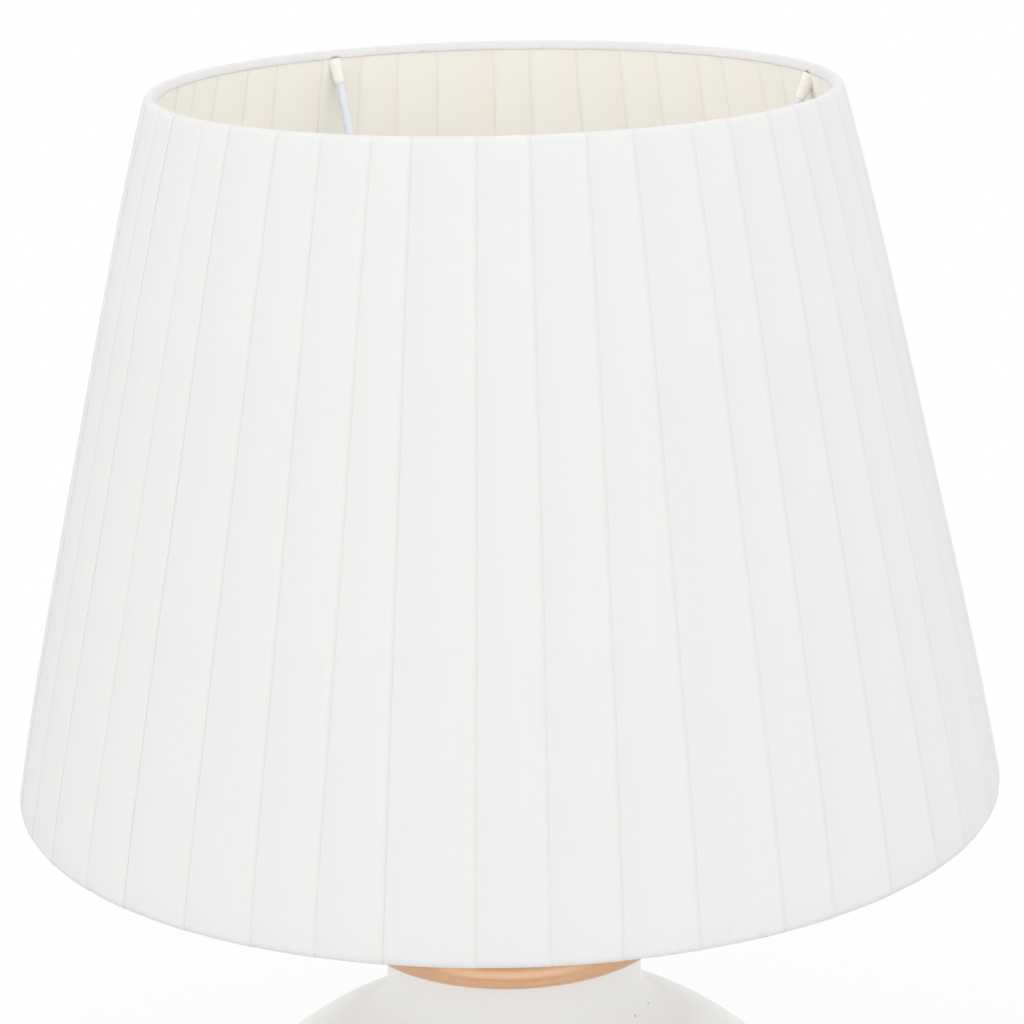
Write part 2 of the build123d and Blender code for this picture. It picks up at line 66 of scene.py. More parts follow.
# %% A socket that can stand in an expression
class Value:
    """A socket of a node tree that can stand in a Python expression."""

    def __init__(self, tree, socket=None):
        self.tree = tree
        self.socket = socket

    def node(self, kind, settings=None, inputs=None, out=0):
        """Add a node, with its settings first and then its sockets, and return one of its outputs."""
        made = self.tree.nodes.new(kind)
        for name, setting in (settings or {}).items():
            setattr(made, name, setting)
        for key, given in (inputs or {}).items():
            if isinstance(given, Value):
                self.tree.links.new(given.socket, made.inputs[key])
            else:
                made.inputs[key].default_value = given
        return Value(self.tree, made.outputs[out] if made.outputs else None)

    def other(self, out):
        """Another output of the node that this socket belongs to."""
        return Value(self.tree, self.socket.node.outputs[out])

    def math(self, operation, *values):
        return self.node("ShaderNodeMath", {"operation": operation}, dict(enumerate(values)))

    def __add__(self, more):
        return self.math("ADD", self, more)

    def __radd__(self, more):
        return self.math("ADD", more, self)

    def __sub__(self, less):
        return self.math("SUBTRACT", self, less)

    def __rsub__(self, start):
        return self.math("SUBTRACT", start, self)

    def __mul__(self, factor):
        return self.math("MULTIPLY", self, factor)

    def __rmul__(self, factor):
        return self.math("MULTIPLY", factor, self)

    def __truediv__(self, divisor):
        return self.math("DIVIDE", self, divisor)

    def __rtruediv__(self, dividend):
        return self.math("DIVIDE", dividend, self)

    def __pow__(self, exponent):
        return self.math("POWER", self, exponent)

    def size(self):
        """This value without its sign."""
        return self.math("ABSOLUTE", self)

    def sin(self):
        return self.math("SINE", self)

    def cos(self):
        return self.math("COSINE", self)

    def between(self, low, high):
        """0 at low, 1 at high, a straight line between them and level beyond."""
        return self.node("ShaderNodeMapRange", {"clamp": True}, {0: self, 1: low, 2: high})

    def ease(self, low, high):
        """0 at low, 1 at high, a smooth curve between them and level beyond."""
        settings = {"interpolation_type": "SMOOTHSTEP"}
        return self.node("ShaderNodeMapRange", settings, {0: self, 1: low, 2: high})

    def mix(self, first, second):
        """A colour from first to second as this value goes from 0 to 1."""
        return self.node("ShaderNodeMix", {"data_type": "RGBA"}, {0: self, 6: first, 7: second}, out=2)

    def bump(self, distance, strength=1.0):
        """A normal that is raised by distance where this value is 1."""
        relief = {"Strength": strength, "Distance": distance, "Height": self}
        return self.node("ShaderNodeBump", None, relief)


def srgb(red, green, blue):
    """A colour as a screen shows it, from 0 to 255, as the linear colour that a shader takes."""
    shares = [channel / 255 for channel in (red, green, blue)]
    return (*[s / 12.92 if s <= 0.04045 else ((s + 0.055) / 1.055) ** 2.4 for s in shares], 1.0)


print("Pure white is", srgb(255, 255, 255))

# %% [markdown]
# Camera
#
# The camera stands where the photographer stood: about a metre in front of the lamp, a little above
# the shade's upper edge, looking down by some 16 degrees through a long lens. The slight roll is the
# lean of the shade in the picture. Depth of field stays off.

# %% Camera
camera_place = Vector((0.0, -1.0426, 0.6379))
camera_pitch = 0.2736
camera_yaw = 0.0028
camera_roll = -0.0223
camera_lens = 109.0


def add_camera():
    ahead = Vector((
        math.sin(camera_yaw) * math.cos(camera_pitch),
        math.cos(camera_yaw) * math.cos(camera_pitch),
        -math.sin(camera_pitch),
    ))
    right = Vector((math.cos(camera_yaw), -math.sin(camera_yaw), 0.0))
    upward = right.cross(ahead)
    rolled_right = math.cos(camera_roll) * right + math.sin(camera_roll) * upward
    rolled_up = rolled_right.cross(ahead)
    axes = Matrix((rolled_right, rolled_up, -ahead)).transposed()
    camera = bpy.data.objects.new("camera", bpy.data.cameras.new("camera"))
    camera.data.lens = camera_lens
    camera.data.sensor_width = 36.0
    camera.matrix_world = Matrix.Translation(camera_place) @ axes.to_4x4()
    scene.collection.objects.link(camera)
    scene.camera = camera
    return camera


camera = add_camera()
print("The", camera.name, "looks down by", round(math.degrees(camera_pitch), 1), "degrees")

# %% [markdown]
# Finishes
#
# Every finish starts from a Principled shader. What is the same all over is set on the shader's own
# sockets, and what varies, such as grain, weave or speckle, is worked out from Object coordinates or
# from attributes of the piece, and feeds Base Color, Roughness, Metallic or a Bump node. Only the cloth
# and the floor mix a second shader in.


# %% Start of a finish
def new_finish(name, **constants):
    """A material with constant shader values, a start for its nodes, and its shader."""
    material = bpy.data.materials.new(name)
    material.use_nodes = True
    shader = material.node_tree.nodes["Principled BSDF"]
    for label, value in constants.items():
        shader.inputs[label.replace("_", " ")].default_value = value
    return material, Value(material.node_tree), shader


def feed(shader, **varying):
    """Link values to the shader's sockets."""
    for label, value in varying.items():
        value.tree.links.new(value.socket, shader.inputs[label.replace("_", " ")])


def object_place(start):
    return start.node("ShaderNodeTexCoord", out="Object")


def stretched(place, scale):
    """The place with a scale of its own for each axis."""
    return place.node("ShaderNodeMapping", None, {"Vector": place, "Scale": scale})


def noise(place, scale, detail=2.0):
    """Noise about 0.5, with scale cells to a unit of the place and finer layers by detail."""
    return place.node("ShaderNodeTexNoise", None, {"Vector": place, "Scale": scale, "Detail": detail})


def varied(value, colour, spread):
    """The colour, from darker to lighter by spread as the value goes from 0 to 1."""
    darker = (*[channel * (1 - spread) for channel in colour[:3]], 1.0)
    lighter = (*[min(1.0, channel * (1 + spread)) for channel in colour[:3]], 1.0)
    return value.mix(darker, lighter)


def show(surface):
    """Make this shader the one that the material shows."""
    surface.tree.links.new(surface.socket, surface.tree.nodes["Material Output"].inputs["Surface"])


# %% [markdown]
# Ribbon cloth
#
# The ribbons are a thin white weave that lets some light through. Each ribbon is a little darker where
# it comes out from under its neighbour, which is painted shade, and lighter where the next ribbon backs
# it and over the turned edge. The cream in the fold itself is painted light, for the warm glow between
# the layers. The wraps round the hoops have a white of their own, with painted light and shade: whitest
# over the lower hoop, greyer over the upper one. One even colour would lose the pleats, so the finish
# reads the zones from attributes of the strip. Fine threads run along and across each ribbon, and a
# translucent shader lets light through.

# %% Ribbon cloth
thread_spacing = 0.55 * MM
turned_under = 4.0 * MM  # cloth behind the fold
streak_scale = (420.0, 9.0, 1.0)  # noise cells to a metre across and along, and from ribbon to ribbon
cloud_scale = (60.0, 14.0, 1.0)
ribbon_shift = 0.37  # of the pattern, from ribbon to ribbon
# Painted shade: darkest where the face comes out from under its neighbour, gone where the next ribbon
# backs it
shaded_to_backed_zone = (0.0, 0.75)  # share of the shown face, from its start to where the next ribbon backs it
turned_zone_ends = (turned_under, 2.5 * MM)  # from the free edge, where the turned part fades out
turned_zone_starts = (0.4 * MM, 1.2 * MM)  # from the free edge, where it fades in
# Where the fold's cream is painted, as warm light between the layers
fold_zone = (0.1 * MM, 0.0)  # from the free edge
# Painted light and shade on the wraps: whitest at the lower hoop, greyer at the upper one
painted_wrap_light_zone = (0.05, 0.2)  # metres up from the lower hoop, from the hem's white to the rim's
hem_zone = (0.05, 0.6)  # share of the wrap round a hoop


def attribute(start, name):
    return start.node("ShaderNodeAttribute", {"attribute_name": name}, out="Fac")


def ribbon_cloth(name, colours, through):
    """Cloth of ribbons, with the colours of its zones and the share of light that it lets through."""
    material, start, shader = new_finish(name, Roughness=0.85, Sheen_Weight=0.1)
    edge, height, ribbon = [attribute(start, fact) for fact in ("edge", "height", "ribbon")]
    place = start.node("ShaderNodeCombineXYZ", None, {0: edge, 1: height, 2: ribbon * ribbon_shift})
    streaks = noise(stretched(place, streak_scale), 1.0, 3.0)
    cloud = noise(stretched(place, cloud_scale), 1.0)
    # Painted shade where the ribbon comes out from under its neighbour, and lighter where the next ribbon
    # backs it
    backed = attribute(start, "shown") + (cloud - 0.5) * 0.5
    colour = backed.ease(*shaded_to_backed_zone).mix(colours["single_shaded"], colours["backed"])
    turned = edge.ease(*turned_zone_ends) * edge.ease(*turned_zone_starts)
    colour = turned.mix(colour, colours["turned"])
    # The cream of the fold is painted light, for the warm glow between the layers
    fold = edge.ease(*fold_zone) * (0.4 + streaks)
    colour = fold.between(0.0, 1.0).mix(colour, colours["fold"])
    colour = (streaks - 0.5).between(0.0, 4.0).mix(colour, colours["fold"])
    # Painted light and shade on the wraps: whitest at the lower hoop, greyer at the upper one
    hem = height.ease(*painted_wrap_light_zone).mix(colours["hem"], colours["rim"])
    colour = attribute(start, "hem").ease(*hem_zone).mix(colour, hem)
    waves = 2 * math.pi / thread_spacing
    relief = ((edge * waves).sin() + (height * waves).sin()) * 0.25 + streaks
    feed(shader, Base_Color=colour, Normal=relief.bump(0.06 * MM, 0.5))
    glow = start.node("ShaderNodeBsdfTranslucent", None, {"Color": colours["backed"]})
    body = Value(start.tree, shader.outputs[0])
    show(start.node("ShaderNodeMixShader", None, {0: through, 1: body, 2: glow}))
    return material


# The one-layer colour holds painted shade, the fold colour painted warm light, and the hem and rim
# colours painted light and shade on the wraps
white_colours = {
    "single_shaded": srgb(247, 247, 247),
    "backed": srgb(249, 249, 248),
    "turned": srgb(250, 250, 249),
    "fold": srgb(254, 248, 235),
    "hem": srgb(252, 252, 252),
    "rim": srgb(243, 242, 243),
}
# The cream inside is painted light: a slight warmth of the cloth, strengthened for the warm light that
# passes through and bounces inside the shade
cream_bounce_light_colours = {
    "single_shaded": srgb(252, 249, 240),
    "backed": srgb(252, 250, 243),
    "turned": srgb(253, 251, 245),
    "fold": srgb(253, 248, 236),
    "hem": srgb(252, 251, 248),
    "rim": srgb(246, 245, 243),
}
white_ribbon = ribbon_cloth("white_ribbon", white_colours, 0.3)
cream_bounce_light_ribbon = ribbon_cloth("cream_bounce_light_ribbon", cream_bounce_light_colours, 0.3)
print("Cloth finishes:", white_ribbon.name, cream_bounce_light_ribbon.name)

# %% [markdown]
# Glaze and wood
#
# The pot has a plain warm-white glaze with two small pits and an unglazed foot. The cap was turned from
# a pale plank: its year rings are cut as arcs round the heart of the tree, below and in front of the
# plank, and fine pores run along it. A highlight is painted as a lighter band along the rounded edge,
# in its middle, and the end grain at both tips is darker. Noise alone would look like stone, so the
# rings are a sine of the distance from the heart.

# %% Glaze
glaze_pits = [Vector((42.8, -23.3, 163.5)) * MM, Vector((48.1, -10.6, 162.6)) * MM]
pit_radius = 0.8 * MM
foot_line = 3.0 * MM  # top of the unglazed foot
foot_blend = 0.6 * MM


def glaze_finish():
    material, start, shader = new_finish("glaze")
    place = object_place(start)
    height = start.node("ShaderNodeSeparateXYZ", None, {0: place}).other("Z")
    cloud = noise(place, 26.0, 3.0)
    speckle = noise(place, 900.0, 2.0)
    bare = (height + (cloud - 0.5) * MM).ease(foot_line + foot_blend, foot_line - foot_blend)
    colour = varied(cloud, srgb(236, 236, 234), 0.012)
    colour = speckle.ease(0.66, 0.8).mix(colour, srgb(226, 222, 213))
    colour = bare.mix(colour, srgb(208, 196, 178))
    pit = 0
    for centre in glaze_pits:
        ends = {0: place, 1: centre}
        apart = start.node("ShaderNodeVectorMath", {"operation": "DISTANCE"}, ends, out="Value")
        pit = pit + (apart + (speckle - 0.5) * MM).ease(pit_radius, pit_radius / 4)
    colour = pit.between(0.0, 1.6).mix(colour, srgb(120, 112, 104))
    relief = cloud * 2.0 + speckle * 0.15 - pit
    rough = 0.3 + 0.08 * cloud + 0.4 * bare
    feed(shader, Base_Color=colour, Roughness=rough, Normal=relief.bump(0.15 * MM, 0.5))
    return material


print("Pits in the glaze:", len(glaze_pits))

# %% Wood
cap_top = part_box("wooden_cap")[1].z
heart_y = -30.0 * MM
heart_z = 50.0 * MM
ring_spacing = 3.4 * MM
ring_drift = 6.0 * MM
# Where the painted highlight lies: a lighter band on the rounded edge, in the middle front and back
highlight_starts = (2.6 * MM, 4.8 * MM)  # below the top of the cap
highlight_ends = (7.0 * MM, 5.4 * MM)
highlight_aside = ((32 * MM) ** 2, (12 * MM) ** 2)  # squared, from the middle to both sides
tips_aside = ((15 * MM) ** 2, (40 * MM) ** 2)


def wood_finish():
    material, start, shader = new_finish("pale_wood", Coat_Weight=0.4, Coat_Roughness=0.28)
    place = object_place(start)
    drift = noise(stretched(place, (9.0, 40.0, 40.0)), 1.0, 2.0) - 0.5
    axes = start.node("ShaderNodeSeparateXYZ", None, {0: place})
    from_heart = ((axes.other("Y") - heart_y) ** 2 + (axes.other("Z") - heart_z) ** 2) ** 0.5
    ring = ((from_heart + drift * ring_drift) * (2 * math.pi / ring_spacing)).sin() * 0.5 + 0.5
    pores = noise(stretched(place, (55.0, 1500.0, 1500.0)), 1.0, 2.0)
    colour = (ring ** 2.0 * 0.8).mix(srgb(219, 170, 129), srgb(211, 159, 118))
    colour = (pores.ease(0.45, 0.75) * 0.5).mix(colour, srgb(194, 143, 104))
    below_top = cap_top - axes.other("Z")
    aside = axes * axes  # squared, so that both tips look alike
    # Painted highlight: a lighter band on the rounded edge, fading towards both tips
    painted_highlight = below_top.ease(*highlight_starts) * below_top.ease(*highlight_ends)
    painted_highlight = painted_highlight * aside.ease(*highlight_aside) * (1 - ring * 0.3)
    colour = painted_highlight.mix(colour, srgb(242, 196, 159))
    tips = aside.ease(*tips_aside) * 0.8
    colour = tips.mix(colour, srgb(206, 160, 122))
    rough = 0.42 + 0.12 * pores
    feed(shader, Base_Color=colour, Roughness=rough, Normal=(1 - pores).bump(0.05 * MM, 0.4))
    return material


print("Top of the cap:", round(cap_top / MM, 1), "mm")

# %% [markdown]
# Plastic, metal, rubber and felt
#
# The other finishes share one recipe: a colour that drifts a little, a roughness that drifts with it,
# and a fine relief. Only their values differ, so one function makes them all. The tip of the bulb is
# black glass with a drop of solder, and has a recipe of its own.

# %% Other finishes
def drifting_finish(name, colour, spread, rough, patch, grain, depth, **constants):
    """A colour drifting by spread over patches, with grains of some depth; sizes in millimetres."""
    material, start, shader = new_finish(name, **constants)
    place = object_place(start)
    cloud = noise(place, 1 / (patch * MM), 3.0)
    relief = noise(place, 1 / (grain * MM), 2.0)
    feed(
        shader,
        Base_Color=varied(cloud, colour, spread),
        Roughness=rough * (0.8 + 0.4 * cloud),
        Normal=relief.bump(depth * MM, 0.6),
    )
    return material


solder_spot = (2.24 * MM) ** 2  # squared radius of the drop


def cap_insulator():
    """Black glass with a drop of solder in its middle."""
    material, start, shader = new_finish("bulb_glass")
    place = object_place(start)
    axes = start.node("ShaderNodeSeparateXYZ", None, {0: place})
    solder = (axes * axes + axes.other("Y") ** 2.0).ease(1.12 * solder_spot, 0.88 * solder_spot)
    cloud = noise(place, 700.0, 2.0)
    glass = varied(cloud, srgb(34, 32, 34), 0.2)
    drop = varied(cloud, srgb(196, 196, 196), 0.08)
    feed(
        shader,
        Base_Color=solder.mix(glass, drop),
        Metallic=solder,
        Roughness=0.12 + 0.25 * solder + 0.1 * cloud,
        Normal=cloud.bump(0.05 * MM, 0.4),
    )
    return material


finishes = {
    "glazed_ceramic": glaze_finish(),
    "turned_wood": wood_finish(),
    "felt": drifting_finish(
        "grey_felt", srgb(196, 192, 186), spread=0.12, rough=0.95, patch=3, grain=0.4, depth=0.3,
        Sheen_Weight=0.4,
    ),
    "outlet_rubber": drifting_finish(
        "white_rubber", srgb(222, 220, 214), spread=0.02, rough=0.6, patch=4, grain=0.3, depth=0.03
    ),
    "zinc_steel": drifting_finish(
        "zinc", srgb(206, 205, 200), spread=0.08, rough=0.36, patch=2, grain=0.2, depth=0.02, Metallic=1.0
    ),
    "white_metal": drifting_finish(
        "powder_coat", srgb(214, 217, 226), spread=0.015, rough=0.4, patch=8, grain=0.5, depth=0.04
    ),
    "white_plastic": drifting_finish(
        "white_plastic", srgb(236, 236, 232), spread=0.012, rough=0.34, patch=12, grain=0.35, depth=0.02
    ),
    "porcelain": drifting_finish(
        "porcelain", srgb(233, 230, 222), spread=0.03, rough=0.5, patch=6, grain=0.3, depth=0.03
    ),
    "contact_brass": drifting_finish(
        "brass", srgb(226, 190, 116), spread=0.1, rough=0.3, patch=3, grain=0.2, depth=0.02, Metallic=1.0
    ),
    "bulb_insulator": cap_insulator(),
    "bulb_cap_metal": drifting_finish(
        "tin", srgb(214, 214, 212), spread=0.06, rough=0.26, patch=3, grain=0.25, depth=0.02, Metallic=1.0
    ),
    "bulb_plastic": drifting_finish(
        "bulb_plastic", srgb(238, 238, 236), spread=0.01, rough=0.3, patch=15, grain=0.4, depth=0.02
    ),
    "opal_globe": drifting_finish(
        "opal", srgb(242, 241, 236), spread=0.008, rough=0.4, patch=20, grain=0.5, depth=0.01,
        Subsurface_Weight=0.3,
    ),
    "shade_cloth": white_ribbon,
    "lining_cloth": cream_bounce_light_ribbon,
}
binding_tape = drifting_finish(
    "white_tape", srgb(232, 229, 220), spread=0.015, rough=0.85, patch=2, grain=0.25, depth=0.06,
    Sheen_Weight=0.1,
)
for node in nodes.values():
    for slot in node.material_slots:
        slot.material = finishes[slot.material.name]
print("Finishes:", len(finishes))

# %% [markdown]
# Rules in Geometry Nodes
#
# What repeats or follows a rule is grown by a Geometry Nodes tree with named sizes. The tree runs on
# an empty object, its result is kept as a plain mesh, and the modifier is removed, so that later
# steps and the export see ordinary faces.


# %% Helpers for rules
def new_rule(name, sizes):
    """A Geometry Nodes tree with one named input for each size, and those inputs as values."""
    tree = bpy.data.node_groups.new(name, "GeometryNodeTree")
    tree.interface.new_socket("Geometry", in_out="OUTPUT", socket_type="NodeSocketGeometry")
    for label, kind in sizes.items():
        tree.interface.new_socket(label, in_out="INPUT", socket_type="NodeSocket" + kind)
    given = tree.nodes.new("NodeGroupInput")
    return tree, Value(tree), {label: Value(tree, given.outputs[label]) for label in sizes}


def end_rule(start, geometry, material):
    """Close a tree: smooth faces, no instances left, and the finish."""
    smooth = start.node("GeometryNodeSetShadeSmooth", None, {"Geometry": geometry})
    real = start.node("GeometryNodeRealizeInstances", None, {"Geometry": smooth})
    done = start.node("GeometryNodeSetMaterial", None, {"Geometry": real, "Material": material})
    start.node("NodeGroupOutput", None, {0: done})


def keep_mesh(piece):
    """Turn what the piece's modifiers make into its plain mesh."""
    graph = bpy.context.evaluated_depsgraph_get()
    made = bpy.data.meshes.new_from_object(
        piece.evaluated_get(graph), preserve_all_data_layers=True, depsgraph=graph
    )
    piece.modifiers.clear()
    piece.data = made
    made.name = piece.name
    return piece


def new_piece(name, mesh=None):
    piece = bpy.data.objects.new(name, mesh or bpy.data.meshes.new(name))
    scene.collection.objects.link(piece)
    return piece


def grow(name, tree, sizes):
    """A piece made by a rule with these sizes."""
    piece = new_piece(name)
    modifier = piece.modifiers.new("rule", "NODES")
    modifier.node_group = tree
    for item in tree.interface.items_tree:
        if item.in_out == "INPUT":
            modifier[item.identifier] = sizes[item.name]
    keep_mesh(piece)
    print(name, "has", len(piece.data.polygons), "faces")
    return piece


# %% [markdown]
# The pleated shade
#
# A long ribbon of constant width is wound over the two hoops. Each turn starts under the turn before
# it, climbs over its neighbour and ends in a turned-under free edge. The hoops differ in size, so the
# laps are narrow below and wide above. Modelled by hand, 44 ribbons would be hard to lay on each other
# without gaps. So one strip of faces is placed 44 times and bent by formulas: across the strip run the
# lap, the fold and the part turned under, and along it run the wrap round the lower hoop, the straight
# stretch and the wrap round the upper hoop. Ribbons that lie on each other ripple together.

# %% The rule of the ribbons
ribbon_count = 44
ribbon_width = 33.0 * MM
ribbon_thickness = 0.08 * MM
faces_across = 14
faces_along = 44
wrap_share = 0.16  # of the rows, round each hoop
face_share = 0.62  # of the columns, on the ribbon's face
fold_share = 0.22  # of the columns, round the free edge
fold_room = 0.8  # times the thickness, from the part turned under to the ribbon below; pressed together
ripple_round = 5.0  # noise cells to a radian round the shade
ripple_up = 2.6  # noise cells from hoop to hoop
least_slant = 0.3  # of the full slant
draw_in = (0.2, 0.85)  # shares of the wrap, where the ribbon draws in to its end at the wire


def ribbon_rule():
    sizes = {
        "Ribbons": "Int",
        "Width": "Float",
        "Thickness": "Float",
        "Low Radius": "Float",
        "Low Height": "Float",
        "High Radius": "Float",
        "High Height": "Float",
        "Wrap Radius": "Float",
        "End Radius": "Float",
        "First Angle": "Float",
        "Wrap Below": "Float",
        "Wrap Above": "Float",
        "Lift": "Float",
        "Lift at Hoops": "Float",
        "Bulge": "Float",
        "Flare": "Float",
        "Phase": "Float",
        "Slant": "Float",
        "Unevenness": "Float",
        "Ripple": "Float",
        "Seed": "Int",
        "Cloth": "Material",
    }
    tree, start, given = new_rule("wound ribbons", sizes)
    strip = start.node(
        "GeometryNodeMeshGrid",
        None,
        {"Size X": 1.0, "Size Y": 1.0, "Vertices X": faces_across + 1, "Vertices Y": faces_along + 1},
    )
    places = start.node("GeometryNodePoints", None, {"Count": given["Ribbons"]})
    strips = start.node("GeometryNodeInstanceOnPoints", None, {"Points": places, "Instance": strip})
    strips = start.node(
        "GeometryNodeStoreNamedAttribute",
        {"data_type": "FLOAT", "domain": "INSTANCE"},
        {"Geometry": strips, "Name": "ribbon", "Value": start.node("GeometryNodeInputIndex")},
    )
    cloth = start.node("GeometryNodeRealizeInstances", None, {"Geometry": strips})

    flat = start.node("ShaderNodeSeparateXYZ", None, {0: start.node("GeometryNodeInputPosition")})
    across = flat + 0.5
    along = flat.other("Y") + 0.5
    ribbon = start.node("GeometryNodeInputNamedAttribute", {"data_type": "FLOAT"}, {"Name": "ribbon"})
    chance = start.node(
        "FunctionNodeRandomValue",
        {"data_type": "FLOAT"},
        {2: -1.0, 3: 1.0, "ID": ribbon, "Seed": given["Seed"]},
        out=1,
    )
    other_chance = start.node(
        "FunctionNodeRandomValue",
        {"data_type": "FLOAT"},
        {2: least_slant, 3: 1.0, "ID": ribbon, "Seed": given["Seed"] + 1.0},
        out=1,
    )

    # Along the ribbon: round the lower hoop, straight up, round the upper hoop
    climb = along.between(wrap_share, 1 - wrap_share)
    turn = (
        given["First Angle"]
        + given["Wrap Below"] * along.between(0.0, wrap_share)
        + given["Wrap Above"] * along.between(1 - wrap_share, 1.0)
    )
    hoop_radius = given["Low Radius"] + (given["High Radius"] - given["Low Radius"]) * climb
    hoop_height = given["Low Height"] + (given["High Height"] - given["Low Height"]) * climb
    free = 1 - (climb * 2 - 1).size() ** 4
    lift = given["Lift at Hoops"] + (given["Lift"] - given["Lift at Hoops"]) * free

    # Across the ribbon: the face, the fold at the free edge, the part turned under
    face = across.between(0.0, face_share)
    fold = across.between(face_share, face_share + fold_share)
    back = across.between(face_share + fold_share, 1.0)
    pitch = 2 * math.pi / given["Ribbons"]
    step = lift * pitch * hoop_radius / given["Width"]
    fold_radius = (step - fold_room * given["Thickness"]) * 0.5
    half_turn = fold * math.pi
    sideways = (face - 1) * given["Width"] + fold_radius * half_turn.sin() - back * turned_under
    edge_angle = (
        given["Phase"]
        + (ribbon + chance * given["Unevenness"]) * pitch
        + given["Slant"] * other_chance * climb
    )
    angle = edge_angle + sideways / hoop_radius
    round_place = {0: angle.cos() * ripple_round, 1: angle.sin() * ripple_round, 2: climb * ripple_up}
    wave = noise(start.node("ShaderNodeCombineXYZ", None, round_place), 1.0, 1.0) - 0.5
    spread = (
        given["Wrap Radius"]
        + given["Flare"] * (1 - climb) ** 3
        + given["Bulge"] * free
        + lift * (1 + sideways / given["Width"])
        - fold_radius * (1 - half_turn.cos())
        + given["Ripple"] * wave * free
    )
    hem = along.between(wrap_share, 0.0) + along.between(1 - wrap_share, 1.0)
    outwards = spread + (given["End Radius"] - spread) * hem.ease(*draw_in)

    radius = hoop_radius + turn.cos() * outwards
    place = start.node(
        "ShaderNodeCombineXYZ",
        None,
        {0: radius * angle.cos(), 1: radius * angle.sin(), 2: hoop_height + turn.sin() * outwards},
    )

    # What the finish needs to know
    facts = {
        "edge": 0 - sideways,
        "shown": 1 + sideways / (pitch * hoop_radius),
        "height": climb * (given["High Height"] - given["Low Height"]),
        "hem": hem,
    }
    for name, fact in facts.items():
        cloth = start.node(
            "GeometryNodeStoreNamedAttribute",
            {"data_type": "FLOAT", "domain": "POINT"},
            {"Geometry": cloth, "Name": name, "Value": fact},
        )
    bent = start.node("GeometryNodeSetPosition", None, {"Geometry": cloth, "Position": place})
    end_rule(start, bent, given["Cloth"])
    return tree


ribbons = ribbon_rule()
print("The ribbon rule has", len(ribbons.nodes), "nodes")

# %% [markdown]
# Sizes of the shade from the frame
#
# The hoops are in the CAD frame, so the ribbons take their radii and heights from there. The outer
# ribbons wrap the wire from its inner side, under the lower hoop, up the outside and over the upper
# hoop. The inner ribbons run up the inside from hoop to hoop, and their ends are tucked round the wire
# under the ends of the outer ones.


# %% Outer ribbons
def hoop(node):
    """Radius, height and wire radius of a hoop."""
    low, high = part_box(node)
    wire = (high.z - low.z) / 2
    return high.x - wire, (low.z + high.z) / 2, wire


low_radius, low_height, wire_radius = hoop("bottom_ring")
high_radius, high_height, _ = hoop("top_ring")
slope = math.atan2(low_radius - high_radius, high_height - low_height)
outer_wrap = wire_radius + 0.8 * MM
inner_wrap = wire_radius + 0.1 * MM
outer_end = inner_wrap + 0.4 * MM
end_lap = 0.15  # radians round the wire that the outer ends reach past the inside
tuck = 0.5  # radians round the wire that the inner ends are tucked in
shade_sizes = {
    "Ribbons": ribbon_count,
    "Width": ribbon_width,
    "Thickness": ribbon_thickness,
    "Low Radius": low_radius,
    "Low Height": low_height,
    "High Radius": high_radius,
    "High Height": high_height,
    "Seed": 7,
}
outer_sizes = {
    "Wrap Radius": outer_wrap,
    "End Radius": outer_end,
    "First Angle": math.pi + slope - end_lap,
    "Wrap Below": math.pi + end_lap,
    "Wrap Above": math.pi + end_lap,
    "Lift": 0.18 * MM,
    "Lift at Hoops": 0.17 * MM,
    "Bulge": 1.75 * MM,
    "Flare": 0.7 * MM,
    "Phase": math.radians(-94.3),
    "Slant": math.radians(2.5),
    "Unevenness": 0.12,
    "Ripple": 0.5 * MM,
    "Cloth": white_ribbon,
}


def thicken(piece, thickness, offset=0.0):
    """Give a sheet its thickness, as a closed plain mesh."""
    shell = piece.modifiers.new("thickness", "SOLIDIFY")
    shell.thickness = thickness
    shell.offset = offset
    return keep_mesh(piece)


outer_ribbons = thicken(grow("outer_ribbons", ribbons, shade_sizes | outer_sizes), ribbon_thickness)
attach(outer_ribbons, "shade")
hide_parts("pleated_cover")

# %% Inner ribbons
inner_sizes = {
    "Wrap Radius": inner_wrap,
    "End Radius": inner_wrap,
    "First Angle": math.pi + slope + tuck,
    "Wrap Below": -tuck,
    "Wrap Above": -tuck,
    "Lift": 0.3 * MM,
    "Lift at Hoops": 0.3 * MM,
    "Bulge": 0.0,
    "Flare": 0.0,
    "Phase": math.radians(-90.0),
    "Slant": math.radians(2.0),
    "Unevenness": 0.16,
    "Ripple": 0.4 * MM,
    "Cloth": cream_bounce_light_ribbon,
}
inner_ribbons = thicken(grow("inner_ribbons", ribbons, shade_sizes | inner_sizes), ribbon_thickness)
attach(inner_ribbons, "shade")
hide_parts("shade_lining")

# %% The ribbons as cut cloth
slant_length = math.hypot(high_height - low_height, low_radius - high_radius)
outer_length = slant_length + 2 * math.pi * outer_wrap
cut_width = (ribbon_width + turned_under) * ribbon_count
print("Cloth outside:", round(cut_width * outer_length, 3), "square metres")
print("Cloth inside:", round(cut_width * slant_length, 3), "square metres")

# %% [markdown]
# Screw threads and bindings
#
# A screw thread is a sleeve whose radius swells along a helix, so one rule makes the rolled thread of
# the bulb's cap, the thread on the lampholder and the wound tape that binds each arm to the upper hoop.
# The swelling fades out at both ends. A Screw modifier would need a profile for each of them.


